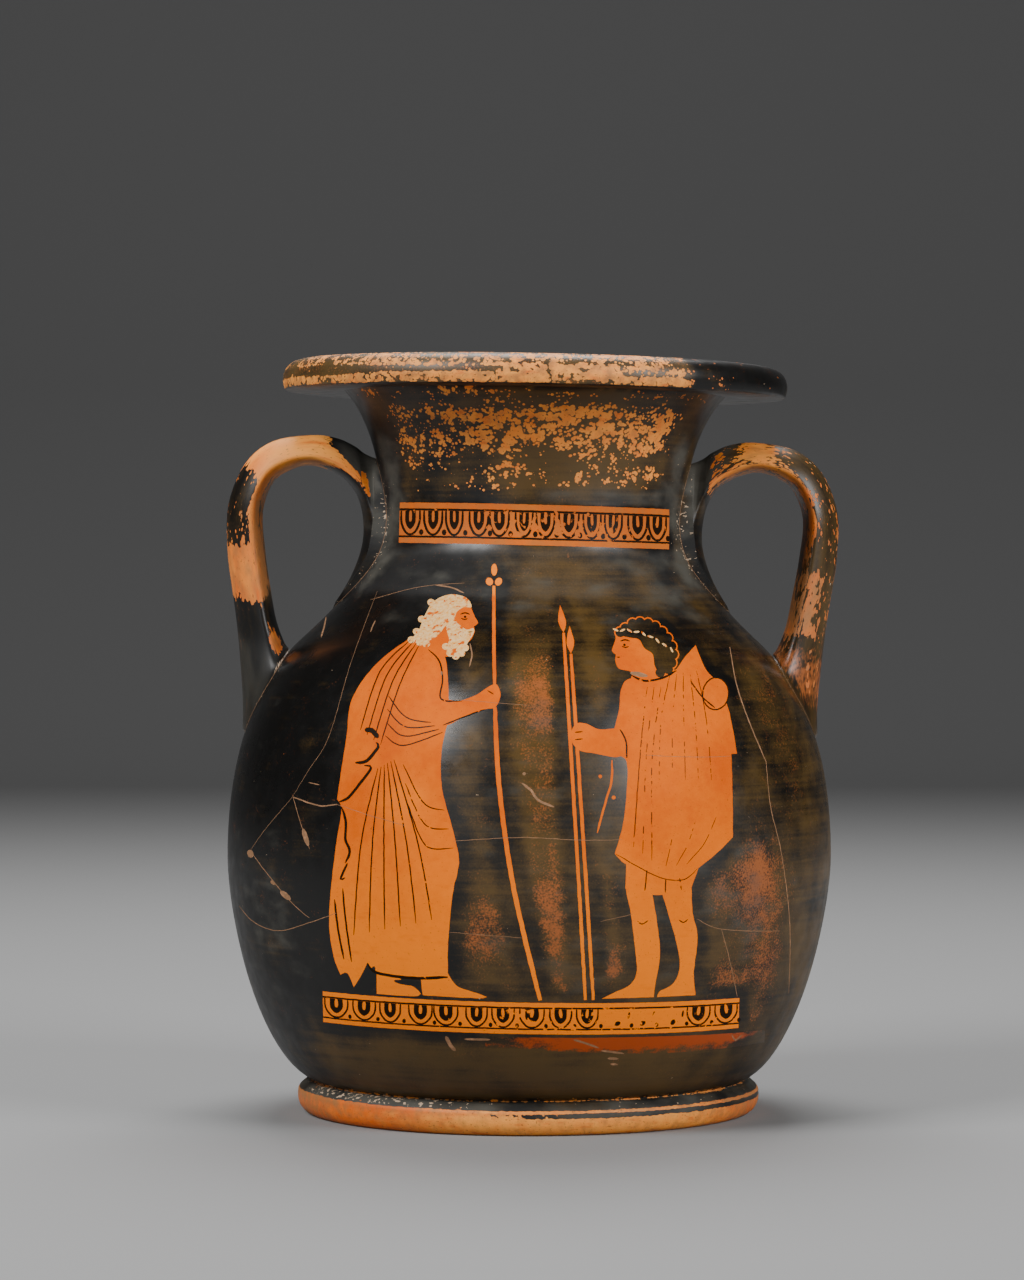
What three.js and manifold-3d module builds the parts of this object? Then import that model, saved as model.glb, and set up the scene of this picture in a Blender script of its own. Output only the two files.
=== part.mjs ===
// A pelike: a wide-mouthed, sag-bellied storage jar of fired clay with a disc foot, an overhanging
// lip and two upright handles. Body, foot, lip and handles are one fired piece, hollow and open.
// Millimetres, +Z up, origin on the table under the middle of the foot, handles along X.
import * as THREE from "three";
import { mergeVertices } from "three/addons/utils/BufferGeometryUtils.js";
import Module from "manifold-3d";

const wasm = await Module();
wasm.setup();

// Overall sizes
const HEIGHT = 340;
const LEAN_DEG = 1.1; // the mouth's tilt: the jar sagged a little to +X while it was wet
const WALL = 5.5;
const AROUND = 60; // facets round the jar

// Body: stations up the outer wall, as radius and height, with the pull of the curve at each
const ROOT = { r: 99.5, z: 15.5, angleDeg: 22, pull: 25 };
const BELLY = { r: 137.6, z: 117, below: 29, above: 44 };
const SHOULDER = { r: 104, z: 214.5, angleDeg: 137.5, below: 30, above: 25 };
const NECK = { r: 69, z: 272.5, below: 23.5, above: 27 };
const FLARE = { r: 87, z: 326.4, angleDeg: 36, pull: 8 };
const WALL_STEPS = { rootToBelly: 7, bellyToShoulder: 6, shoulderToNeck: 6, neckToFlare: 5 };
const INSIDE_SHARE = 0.6; // the inside takes fewer steps than the outside

// Foot: a disc with a rounded edge, bevelled above, hollowed below to leave a resting ring
const FOOT = { rest: 100.2, bulge: 105.2, bulgeZ: 7.5, arris: 104.6, arrisZ: 11.2, top: 100.6, topZ: 14.8 };
const RECESS = { inner: 88, outer: 92, depth: 5.5 };
const FLOOR = { r: 84, centreZ: 13.5, edgeZ: 15 };

// Lip: a flat-bottomed flange with a rounded face, dished into the mouth
const LIP = { r: 114.9, faceLow: 328.4, faceHigh: 332.6, under: 112.9, underZ: 326.4, crest: 104 };
const DISH = { r: 95, z: 337.4 };
const EDGE_STEPS = 4; // steps round the lip's crown and the foot's edge

// Handles: the middle line from the neck, over the top and down into the shoulder, as radius and height
const HANDLE_LINE = [
  [69.5, 236],
  [71, 262],
  [78.5, 286],
  [101.5, 299.3],
  [125.5, 287.5],
  [131.6, 266],
  [127.6, 235],
  [123.6, 205],
  [121.5, 166],
];
const HANDLE = { thick: 15.6, wide: 27, ridge: 1.75, topThin: 0.88, rootWide: 1.3, rootReach: 0.22 };
const HANDLE_SIDES = 14;
const HANDLE_STEPS = 26;

const radians = THREE.MathUtils.degToRad;

// A point at a distance from a station, along an angle measured from outwards towards upwards
function along(station, angleDeg, distance) {
  const a = radians(angleDeg);
  return new THREE.Vector2(station.r + Math.cos(a) * distance, station.z + Math.sin(a) * distance);
}

function stretch(from, fromPull, toPull, to) {
  return new THREE.CubicBezierCurve(
    new THREE.Vector2(from.r, from.z),
    fromPull,
    toPull,
    new THREE.Vector2(to.r, to.z),
  );
}

// The outer wall from the foot to the underside of the lip, as curves with their steps
function wallCurves() {
  const rise = SHOULDER.angleDeg;
  return [
    [
      stretch(ROOT, along(ROOT, ROOT.angleDeg, ROOT.pull), along(BELLY, 90, -BELLY.below), BELLY),
      WALL_STEPS.rootToBelly,
    ],
    [
      stretch(BELLY, along(BELLY, 90, BELLY.above), along(SHOULDER, rise, -SHOULDER.below), SHOULDER),
      WALL_STEPS.bellyToShoulder,
    ],
    [
      stretch(SHOULDER, along(SHOULDER, rise, SHOULDER.above), along(NECK, 90, -NECK.below), NECK),
      WALL_STEPS.shoulderToNeck,
    ],
    [
      stretch(NECK, along(NECK, 90, NECK.above), along(FLARE, FLARE.angleDeg, -FLARE.pull), FLARE),
      WALL_STEPS.neckToFlare,
    ],
  ];
}

// Points up the wall, moved inwards from the outer face by a depth, with a share of the full steps
function wallPoints(depth, share) {
  const points = [];
  for (const [curve, fullSteps] of wallCurves()) {
    const steps = Math.ceil(fullSteps * share);
    const first = points.length ? 1 : 0;
    for (let i = first; i <= steps; i++) {
      const tangent = curve.getTangent(i / steps);
      const p = curve.getPoint(i / steps);
      points.push(new THREE.Vector2(p.x - tangent.y * depth, p.y + tangent.x * depth));
    }
  }
  return points;
}

function footPoints() {
  const edge = new THREE.QuadraticBezierCurve(
    new THREE.Vector2(FOOT.rest, 0),
    new THREE.Vector2(FOOT.bulge, FOOT.bulgeZ / 3),
    new THREE.Vector2(FOOT.bulge, FOOT.bulgeZ),
  );
  return [
    new THREE.Vector2(0, RECESS.depth),
    new THREE.Vector2(RECESS.inner, RECESS.depth),
    new THREE.Vector2(RECESS.outer, 0),
    ...edge.getPoints(EDGE_STEPS),
    new THREE.Vector2(FOOT.arris, FOOT.arrisZ),
    new THREE.Vector2(FOOT.top, FOOT.topZ),
  ];
}

function lipPoints() {
  const crown = new THREE.QuadraticBezierCurve(
    new THREE.Vector2(LIP.r, LIP.faceHigh),
    new THREE.Vector2(LIP.r, HEIGHT),
    new THREE.Vector2(LIP.crest, HEIGHT),
  );
  return [
    new THREE.Vector2(LIP.under, LIP.underZ),
    new THREE.Vector2(LIP.r, LIP.faceLow),
    ...crown.getPoints(EDGE_STEPS),
    new THREE.Vector2(DISH.r, DISH.z),
  ];
}

// A closed mesh as a solid for joining and cutting: only places, shared corners merged, slivers dropped
function solidOf(geometry) {
  const bare = geometry.index ? geometry.toNonIndexed() : geometry.clone();
  bare.deleteAttribute("normal");
  bare.deleteAttribute("uv");
  const merged = mergeVertices(bare, 1e-4);
  const corners = merged.index.array;
  const kept = [];
  for (let i = 0; i < corners.length; i += 3) {
    const [a, b, c] = [corners[i], corners[i + 1], corners[i + 2]];
    if (a !== b && b !== c && c !== a) kept.push(a, b, c);
  }
  return new wasm.Manifold(
    new wasm.Mesh({
      numProp: 3,
      vertProperties: merged.attributes.position.array,
      triVerts: new Uint32Array(kept),
    }),
  );
}

function geometryOf(solid) {
  const mesh = solid.getMesh();
  return new THREE.BufferGeometry()
    .setAttribute("position", new THREE.BufferAttribute(mesh.vertProperties, 3))
    .setIndex(new THREE.BufferAttribute(mesh.triVerts, 1));
}

// Turns a profile of radius and height about the Z axis
function turned(points) {
  return solidOf(new THREE.LatheGeometry(points, AROUND).rotateX(Math.PI / 2));
}

function innerPoints() {
  return [
    ...wallPoints(WALL, INSIDE_SHARE).reverse(),
    new THREE.Vector2(FLOOR.r, FLOOR.edgeZ),
    new THREE.Vector2(0, FLOOR.centreZ),
  ];
}

function vessel() {
  return turned([...footPoints(), ...wallPoints(0, 1), ...lipPoints(), ...innerPoints()]);
}

// The space inside, a little past the mouth, which trims the handles' ends
function hollow() {
  const mouth = [new THREE.Vector2(0, HEIGHT), new THREE.Vector2(DISH.r, HEIGHT)];
  return turned([...mouth, ...innerPoints()].reverse());
}

// The handle's section, a rounded lozenge with a soft ridge on each side, its width along the jar's Y
function handleSection() {
  const section = new THREE.Shape();
  for (let i = 0; i < HANDLE_SIDES; i++) {
    const a = (2 * Math.PI * i) / HANDLE_SIDES;
    const reach = (v) => Math.sign(v) * Math.abs(v) ** (2 / HANDLE.ridge);
    const x = (HANDLE.wide / 2) * reach(Math.cos(a));
    const y = (HANDLE.thick / 2) * reach(Math.sin(a));
    if (i === 0) section.moveTo(x, y);
    else section.lineTo(x, y);
  }
  section.closePath();
  return section;
}

// How the section swells along the handle: thinner over the top, wider where it spreads on the jar
function swell(t) {
  const root = Math.max(0, 1 - Math.min(t, 1 - t) / HANDLE.rootReach);
  const top = Math.exp(-(((t - 0.4) / 0.14) ** 2));
  return {
    thick: 1 + (HANDLE.topThin - 1) * top,
    wide: 1 + (HANDLE.rootWide - 1) * root * root,
  };
}

function handle(side) {
  const line = new THREE.CatmullRomCurve3(
    HANDLE_LINE.map(([r, z]) => new THREE.Vector3(r, 0, z)),
    false,
    "centripetal",
  );
  const tube = new THREE.ExtrudeGeometry(handleSection(), { steps: HANDLE_STEPS, extrudePath: line });
  const middles = line.getSpacedPoints(HANDLE_STEPS);
  const place = tube.attributes.position;
  const corner = new THREE.Vector3();
  for (let i = 0; i < place.count; i++) {
    corner.fromBufferAttribute(place, i);
    const distances = middles.map((m) => Math.hypot(m.x - corner.x, m.z - corner.z));
    const step = distances.indexOf(Math.min(...distances));
    const { thick, wide } = swell(step / HANDLE_STEPS);
    const middle = middles[step];
    corner.set(
      middle.x + (corner.x - middle.x) * thick,
      corner.y * wide,
      middle.z + (corner.z - middle.z) * thick,
    );
    place.setXYZ(i, side * corner.x, side * corner.y, corner.z);
  }
  return solidOf(tube);
}

// Bends the upright jar towards +X: the tilt grows evenly from none at the foot to LEAN_DEG at the mouth
function lean(geometry) {
  const bend = radians(LEAN_DEG) / HEIGHT;
  const place = geometry.attributes.position;
  for (let i = 0; i < place.count; i++) {
    const [x, y, z] = [place.getX(i), place.getY(i), place.getZ(i)];
    const tilt = bend * z;
    place.setXYZ(i, (bend * z * z) / 2 + x * Math.cos(tilt), y, z - x * Math.sin(tilt));
  }
  return geometry;
}

function pelike() {
  const inside = hollow();
  const jar = [1, -1].reduce((whole, side) => whole.add(handle(side).subtract(inside)), vessel());
  const clay = new THREE.MeshStandardMaterial({ color: 0x2a2521, roughness: 0.35, metalness: 0 });
  const mesh = new THREE.Mesh(lean(geometryOf(jar)), clay);
  mesh.name = "pelike";
  return mesh;
}

const part = new THREE.Group();
part.add(pelike());

export default part;
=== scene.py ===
"""Dresses a pelike: one fired-clay jar with its red-figure painting, worn slip and mended breaks.

The jar is modelled upright in millimetres, its front towards -Y and its handles along X. The outer wall
is first a flat sheet, unrolled, so that every painted shape gets faces of its own, and is then rolled
round the jar. The lean and the unevenness of handwork come last, and the mesh is scaled to metres.
"""
import math
from bisect import bisect

import bmesh
import bpy
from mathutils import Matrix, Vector, noise
from mathutils.geometry import delaunay_2d_cdt, interpolate_bezier
from mathutils.kdtree import KDTree


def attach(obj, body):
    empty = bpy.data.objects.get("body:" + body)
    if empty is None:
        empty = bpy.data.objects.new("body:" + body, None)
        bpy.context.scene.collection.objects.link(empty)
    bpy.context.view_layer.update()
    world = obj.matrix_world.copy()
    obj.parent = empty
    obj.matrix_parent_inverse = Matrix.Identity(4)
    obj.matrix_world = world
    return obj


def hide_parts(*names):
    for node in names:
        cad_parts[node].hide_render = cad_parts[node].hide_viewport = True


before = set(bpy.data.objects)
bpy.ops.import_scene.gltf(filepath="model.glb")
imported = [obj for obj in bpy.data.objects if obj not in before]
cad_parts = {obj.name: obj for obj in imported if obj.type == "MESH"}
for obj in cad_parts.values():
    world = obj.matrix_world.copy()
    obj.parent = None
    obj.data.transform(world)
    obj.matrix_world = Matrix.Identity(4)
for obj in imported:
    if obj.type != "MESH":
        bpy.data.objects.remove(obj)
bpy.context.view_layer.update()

METRES = 0.001

# The jar's sizes in millimetres. A place on its profile is a radius and a height.
HEIGHT = 340
LEAN_DEG = 1.1
WALL = 5.5
ROOT = Vector((99.5, 15.5))
BELLY = Vector((137.6, 117))
SHOULDER = Vector((104, 214.5))
NECK = Vector((69, 272.5))
FLARE = Vector((87, 326.4))
SHOULDER_DEG = 137.5
RECESS = 91  # the radius of the hollow under the foot
BARE_BELOW = 250  # the inside has no slip below the neck
LIP_FROM = 324  # the lip's wear begins here
LIP_FACE = 326.6  # below this is the lip's underside
LIP_STRIPE = 332.6  # the middle of the stripe of slip left on the lip
STEADY_BELOW = 30  # the wall's waves fade out below this
PROFILE_STEPS = 60
INSIDE_STEP = 4  # the inside takes every fourth place of the profile

# The unrolled wall: millimetres across for each radian round the jar, cut open between a handle and the back
WRAP = 120
SEAM = math.radians(115)  # between the right handle's roots and the bands of the back
AROUND = 192
SHEET_STEP = 3.6
CLEAR_OF_LINES = 1.1  # how far the sheet's own spots keep from painted lines
SAME_SPOT = 1e-4  # spots closer than this are one

# Painting
LINE_STEP = 1.3  # between the spots of a drawn line
TIP = 0.35  # the share of its width that a stroke has at its ends
CURL_STEP = 3  # steps of a hairline between its curls
LEAVES = 9  # in the wreath
HAND = 0.16  # how far a painted line strays
HAND_RATE = 0.35  # how often it does so, per millimetre
SLIP, CLAY, LINE, WHITE, FILL, RED, STRAP = range(7)
CUT = -1  # no wall here, under a handle's root
DIRT_LINE = 1.0  # the width of the dirt round the handles' roots
CRUST_REACH = 9  # how far pale crust spreads from there
CONTOUR = 6  # the broad stripe of slip drawn round each figure
NECK_BAND = (257, 275)  # the heights of the bands of tongues
GROUND_BAND = (46.6, 60.6)

# Zones of the mesh
TURNED, PAINTED, HANDLE = range(3)
SHARP_DEG = 38  # edges sharper than this stay crisp
WELD = 0.02  # corners closer than this are one


def step_out(place, angle_deg, distance):
    """A place at a distance from another, along an angle measured from outwards towards upwards."""
    angle = math.radians(angle_deg)
    return place + Vector((math.cos(angle), math.sin(angle))) * distance


def wall_profile():
    """Places up the outer wall, from the foot to the underside of the lip."""
    stretches = (
        (ROOT, step_out(ROOT, 22, 25), step_out(BELLY, 90, -29), BELLY),
        (BELLY, step_out(BELLY, 90, 44), step_out(SHOULDER, SHOULDER_DEG, -30), SHOULDER),
        (SHOULDER, step_out(SHOULDER, SHOULDER_DEG, 25), step_out(NECK, 90, -23.5), NECK),
        (NECK, step_out(NECK, 90, 27), step_out(FLARE, 36, -8), FLARE),
    )
    places = []
    for stretch in stretches:
        places += interpolate_bezier(*stretch, PROFILE_STEPS)[bool(places):]
    return [Vector(place) for place in places]


PROFILE = wall_profile()
RADII = [place.x for place in PROFILE]
HEIGHTS = [place.y for place in PROFILE]
ARCS = [0.0]
for before, after in zip(PROFILE, PROFILE[1:]):
    ARCS.append(ARCS[-1] + (after - before).length)


def read_off(scale, values, at):
    """The value that goes with a place on a rising scale."""
    i = min(max(bisect(scale, at), 1), len(scale) - 1)
    share = (at - scale[i - 1]) / (scale[i] - scale[i - 1])
    return values[i - 1] + (values[i] - values[i - 1]) * share


def radius_at(z):
    return read_off(HEIGHTS, RADII, z)


def front(place):
    """The spot on the sheet that shows at x across and z up, seen from the front."""
    x, z = place
    return Vector((math.asin(x / radius_at(z)) * WRAP, read_off(HEIGHTS, ARCS, z)))


def back(place):
    """The same, seen from behind."""
    return front(place) - Vector((math.pi * WRAP, 0))


def rolled(spot):
    """A spot of the sheet on the upright jar."""
    z = read_off(ARCS, HEIGHTS, spot[1])
    angle = spot[0] / WRAP
    return Vector((radius_at(z) * math.sin(angle), -radius_at(z) * math.cos(angle), z))


# Drawing. A line is a list of places, and a place given twice in a row is a corner.

def smooth(places, closed=False):
    """A smooth line through places, in steps of about LINE_STEP."""
    line = [Vector(place) for place in places]
    if closed:
        line = [line[-1], *line, line[0], line[1]]
    else:
        line = [line[0], *line, line[-1]]
    drawn = []
    for before, start, end, after in zip(line, line[1:], line[2:], line[3:]):
        length = (end - start).length
        if length < 1e-6:
            continue
        steps = max(2, math.ceil(length / LINE_STEP) + 1)
        pull_out = start + (end - before) / 6
        pull_in = end - (after - start) / 6
        curve = interpolate_bezier(start, pull_out, pull_in, end, steps)
        drawn += [Vector(spot[:2]) for spot in curve[:-1]]
    if not closed:
        drawn.append(line[-1])
    return drawn


def stroke(places, width, tip=TIP):
    """The outline of a brush stroke along a line, narrowing to a share of its width at both ends."""
    line = smooth(places)
    last = len(line) - 1
    left, right = [], []
    for i, place in enumerate(line):
        ahead = line[min(i + 1, last)] - line[max(i - 1, 0)]
        side = Vector((-ahead.y, ahead.x)).normalized()
        fullness = min(1, min(i, last - i) / max(1, 0.15 * last))
        half = width / 2 * (tip + (1 - tip) * fullness)
        left.append(place + side * half)
        right.append(place - side * half)
    return left + right[::-1]


def blot(middle, across, up, turn_deg=0, points=12):
    """A round or oval spot of paint."""
    turn = math.radians(turn_deg)
    outline = []
    for i in range(points):
        angle = math.tau * i / points
        x, z = across / 2 * math.cos(angle), up / 2 * math.sin(angle)
        outline.append(Vector((
            middle[0] + x * math.cos(turn) - z * math.sin(turn),
            middle[1] + x * math.sin(turn) + z * math.cos(turn),
        )))
    return outline


def between(first, last, share):
    """A line part of the way from one line to another with as many places."""
    return [Vector(a).lerp(Vector(b), share) for a, b in zip(first, last)]


def filled(finish, *outlines):
    """Areas of one finish inside smooth outlines."""
    return [(smooth(outline, True), finish) for outline in outlines]


def brushed(finish, *lines, tip=TIP):
    """Brush strokes of one finish, each a row of places that ends with the stroke's width."""
    return [(stroke(places, width, tip), finish) for *places, width in lines]


def dabbed(finish, *dabs):
    """Spots of one finish, each with a middle, two sizes and perhaps a turn."""
    return [(blot(*dab), finish) for dab in dabs]


def fan(first, last, count, width):
    """Fold lines spread evenly from one line to another."""
    return brushed(LINE, *((*between(first, last, i / (count - 1)), width) for i in range(count)))


# The two generic figures of the front: an elder with a staff and a traveller with two spears

def elder():
    mantle = [
        (-51, 217), (-60, 211), (-68, 204), (-75, 195), (-79, 186), (-80, 174), (-82, 160), (-84, 146),
        (-84, 146), (-82, 142), (-84, 128), (-86, 110), (-87, 92), (-85, 78), (-82, 70), (-82, 70),
        (-79, 71), (-76, 65), (-76, 65), (-73, 70), (-70, 76), (-70, 76), (-66, 71.5), (-50, 70),
        (-35, 71), (-35, 71), (-35, 86), (-33, 108), (-30.5, 121), (-33, 134), (-38, 152), (-38.5, 168),
        (-36, 181), (-36, 196), (-38, 209), (-44, 213), (-51, 217),
    ]
    forearm = [
        (-38, 189), (-31, 189.5), (-24, 192), (-18, 196), (-15, 196.5), (-13.5, 192), (-15.5, 187),
        (-20, 186), (-28, 183), (-38, 179),
    ]
    near_foot = [
        (-66, 73), (-66, 73), (-66, 62.6), (-66, 62.6), (-48, 62.6), (-49, 66), (-55, 69), (-56, 73),
        (-56, 73),
    ]
    far_foot = [
        (-47, 73), (-47, 73), (-46, 63), (-46, 63), (-20, 62.4), (-21, 64), (-31, 67.5), (-35, 73),
        (-35, 73),
    ]
    face = [
        (-31, 233), (-27.2, 230), (-25.6, 226.4), (-23.6, 222.6), (-25.4, 221.2), (-25, 219), (-27, 215),
        (-32, 212), (-37, 208), (-45, 212), (-48, 218), (-42, 228),
    ]
    hair = [
        (-26.6, 229.6), (-29, 233.6), (-36, 235), (-43, 232), (-47, 226), (-49.5, 219), (-52, 215.5),
        (-46, 214.5), (-41, 217), (-38, 221), (-34.5, 223), (-33, 227.5), (-30, 229.4),
    ]
    beard = [
        (-37.5, 221), (-36, 215), (-37.5, 211.5), (-34.5, 209), (-30.5, 210), (-28, 214), (-25.6, 218),
        (-25.4, 220.4), (-28.6, 219.8), (-31.5, 221.6), (-34, 223.4),
    ]
    curls = [
        (-44.5, 231.4), (-48.4, 224), (-50.4, 218.6), (-52.6, 215), (-49, 214), (-46, 213.4),
        (-37.4, 212.4), (-35.4, 209.6), (-33, 208.4), (-30.6, 209.6), (-29, 212),
    ]
    staff_top = ((-17, 239), (-16.6, 215), (-16, 196), 1.5)
    staff_low = ((-15.8, 187), (-13.4, 152), (-7, 110), (4.5, 61.6), 2)
    marks = filled(CLAY, mantle, forearm, near_foot, far_foot, face)
    marks += brushed(CLAY, staff_top, staff_low, tip=0.8)
    marks += dabbed(CLAY, ((-17, 246), 2.6, 5.4), ((-19, 240.8), 3, 3.6, 30), ((-15, 240.8), 3, 3.6, -30))
    marks += filled(WHITE, hair, beard)
    marks += dabbed(WHITE, *((curl, 3.4, 3) for curl in curls))
    marks += fan([(-53, 215), (-66, 201), (-74, 176)], [(-49, 213), (-57, 196), (-65, 170)], 4, 0.55)
    marks += fan([(-62, 191), (-54, 182), (-43, 180)], [(-63, 174), (-55, 170), (-38, 176)], 4, 0.55)
    marks += fan([(-66, 160), (-73, 128), (-76, 88)], [(-59, 164), (-48, 128), (-42, 96)], 6, 0.6)
    marks += fan([(-55, 162), (-46, 146), (-37, 143)], [(-53, 146), (-45, 128), (-33, 127)], 3, 0.5)
    marks += brushed(
        LINE,
        ((-45, 211), (-40, 206), (-38.5, 198), (-39, 190), (-30, 189.4), 0.7),
        ((-72, 176), (-69, 176), (-66, 173), 2.2),
        ((-76, 162), (-71, 163), (-66, 169), (-67, 171), 1.4),
        ((-83, 145), (-79, 147), (-74, 153), (-69, 160), (-72, 161), 1.2),
        ((-82, 143), (-80, 137), (-80, 129), (-78, 124), (-80, 119), 1.2),
        ((-79, 119), (-82, 112), (-80, 112.6), 1),
        ((-84.6, 103), (-83, 90), (-80.4, 77), 0.9),
        ((-81, 108), (-79.6, 94), (-77, 76), 0.8),
    )
    marks += dabbed(SLIP, ((-68, 72), 2.2, 6, -20), ((-53, 68.2), 11, 2.2, -6))
    marks += brushed(
        LINE,
        ((-70, 76), (-66, 72), (-50, 70.4), (-35, 71.4), 1.3),
        ((-38, 179), (-28, 183), (-20, 186), 0.6),
        ((-19, 194), (-16.4, 192.4), 0.5),
        ((-31.4, 226.4), (-29.4, 227), (-27.4, 226.4), 0.6),
        ((-31.2, 224.6), (-29.6, 224.1), (-28.2, 224.6), 0.5),
    )
    marks += dabbed(LINE, ((-29.4, 225.2), 1.1, 1.1))
    return marks + brushed(LINE, ((-28, 218.6), (-26, 218.9), 0.5))


def traveller():
    cloak = [
        (42, 199.5), (38.6, 195), (37.6, 186), (35.5, 178), (35.5, 178), (37, 168), (41, 164), (41, 152),
        (39.5, 138), (36, 125), (36, 125), (40, 121), (45, 120), (56, 114), (66, 113), (72, 118), (72, 118),
        (80, 124), (87.5, 131), (87.5, 131), (87.5, 148), (87, 167), (87, 167), (89.6, 167), (89.6, 167),
        (88, 177), (85.6, 188), (81, 198), (76, 204), (72, 214), (72, 214), (67, 209), (62, 203), (52, 199),
    ]
    skirt = [
        (41, 124), (41, 124), (40.6, 110), (40.6, 110), (54, 107), (69, 109), (69, 109), (73, 120),
        (73, 120),
    ]
    forearm = [
        (38, 178), (29, 178), (23, 180.5), (18.6, 180), (16.8, 174.6), (20, 169.4), (28, 167.6),
        (38, 166.4), (41, 172),
    ]
    front_leg = [
        (41, 112), (43, 100), (44.6, 88), (46, 74), (43, 68), (37, 65), (31, 62.2), (31, 62.2),
        (53.6, 62.2), (53.6, 62.2), (54, 67), (56, 80), (55, 92), (52, 108), (48, 114),
    ]
    back_leg = [
        (56, 112), (59, 100), (62.6, 88), (64.8, 76), (62, 68), (56, 64.6), (55, 62.2), (55, 62.2),
        (72, 62.2), (72, 62.2), (71, 72), (72.4, 88), (70, 99), (68.6, 112), (62, 115),
    ]
    head = [
        (37, 219), (36.4, 216.6), (34.6, 211.4), (36.4, 209.8), (36, 207.6), (37.6, 203.8), (43, 202.4),
        (43.6, 198), (55, 198), (60, 203), (62, 210), (59.5, 217), (53.6, 222), (45, 223.5),
    ]
    hair = [
        (38, 218.6), (40, 221.4), (46, 224), (53, 222.6), (59.4, 217.4), (62, 210), (60, 204), (56, 202),
        (53.4, 205), (52.6, 210), (49, 212.6), (46.6, 216.4), (42, 217.2),
    ]
    hairline = [(38.4, 219.4), (45, 223.6), (53, 222.6), (59.4, 217), (61.8, 210), (59.4, 203.6), (55, 202)]
    curls = smooth(hairline)[::CURL_STEP]
    spears = (((12, 231), (13.6, 219), (24, 61.6)), ((16.2, 222), (16.8, 210), (27.4, 61.6)))
    marks = filled(CLAY, skirt, front_leg, back_leg, cloak, forearm, head)
    marks += dabbed(CLAY, *((curl, 5.4, 5.4) for curl in curls))
    marks += dabbed(SLIP, *((curl, 4.3, 4.3) for curl in curls))
    marks += filled(SLIP, hair)
    for i in range(LEAVES):
        share = i / (LEAVES - 1)
        leaf = Vector((36.4, 220.4)).lerp(Vector((61, 212)), share)
        leaf.y += 2.6 * math.sin(math.pi * share)
        turn_deg = 35 - 80 * share if i % 2 else -25 - 40 * share
        marks += dabbed(WHITE, (leaf, 2.8, 0.9, turn_deg, 8))
    for spear in spears:
        point, socket, butt = (Vector(place) for place in spear)
        middle, half = point.lerp(socket, 0.6), Vector((1.7, 0))
        marks += brushed(CLAY, (socket, socket.lerp(butt, 0.5), butt, 1.5), tip=0.8)
        marks += filled(CLAY, [point, point, middle - half, socket, socket, middle + half])
    hat = (80.5, 193)
    marks += dabbed(LINE, (hat, 12.5, 14.5, -10, 20)) + dabbed(CLAY, (hat, 11.3, 13.3, -10, 20))
    marks += fan([(60, 201), (56, 182), (55, 156)], [(72, 203), (76, 182), (78, 156)], 5, 0.32)
    marks += fan([(50, 196), (47, 170), (44, 128)], [(56, 196), (52, 165), (52, 122)], 3, 0.4)
    marks += fan([(62, 138), (60, 128), (58, 119)], [(80, 140), (75, 129), (67, 120)], 3, 0.28)
    marks += brushed(
        LINE,
        ((43, 201), (49, 198.6), (57, 200), (63, 203), 0.9),
        ((38, 178), (40.6, 173), (41, 165), 0.7),
        ((36.5, 125), (45, 120), (56, 114.4), (66, 113.4), (72, 118), 0.36),
        ((69, 199), (74, 192), (80, 187), 0.6),
        ((50, 118), (49, 109), 0.5),
        ((58, 114), (58, 108), 0.5),
        ((64, 114), (65, 109), 0.5),
        ((18.6, 176.6), (22, 177), 0.5),
        ((18.6, 173.6), (22, 174), 0.5),
        ((46, 96), (48, 94.6), (50.6, 96), 0.5),
        ((64, 96), (66, 94.6), (68, 96), 0.5),
        ((38.4, 215.6), (40.4, 216.2), (42.6, 215.6), 0.6),
        ((39, 213.4), (40.6, 212.9), (42, 213.4), 0.5),
    )
    marks += dabbed(LINE, ((40.2, 214), 1.1, 1.1))
    marks += brushed(LINE, ((36.6, 208.7), (38.6, 208.6), 0.5))
    cord = ((34.6, 165), (34.4, 156), (31.6, 146), (28.4, 134), 0.9)
    return marks + brushed(CLAY, cord) + dabbed(CLAY, ((29.6, 158), 1.6, 1.6), ((35.4, 149), 1.6, 1.6))


# The plainer back: two wrapped bystanders facing each other

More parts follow.
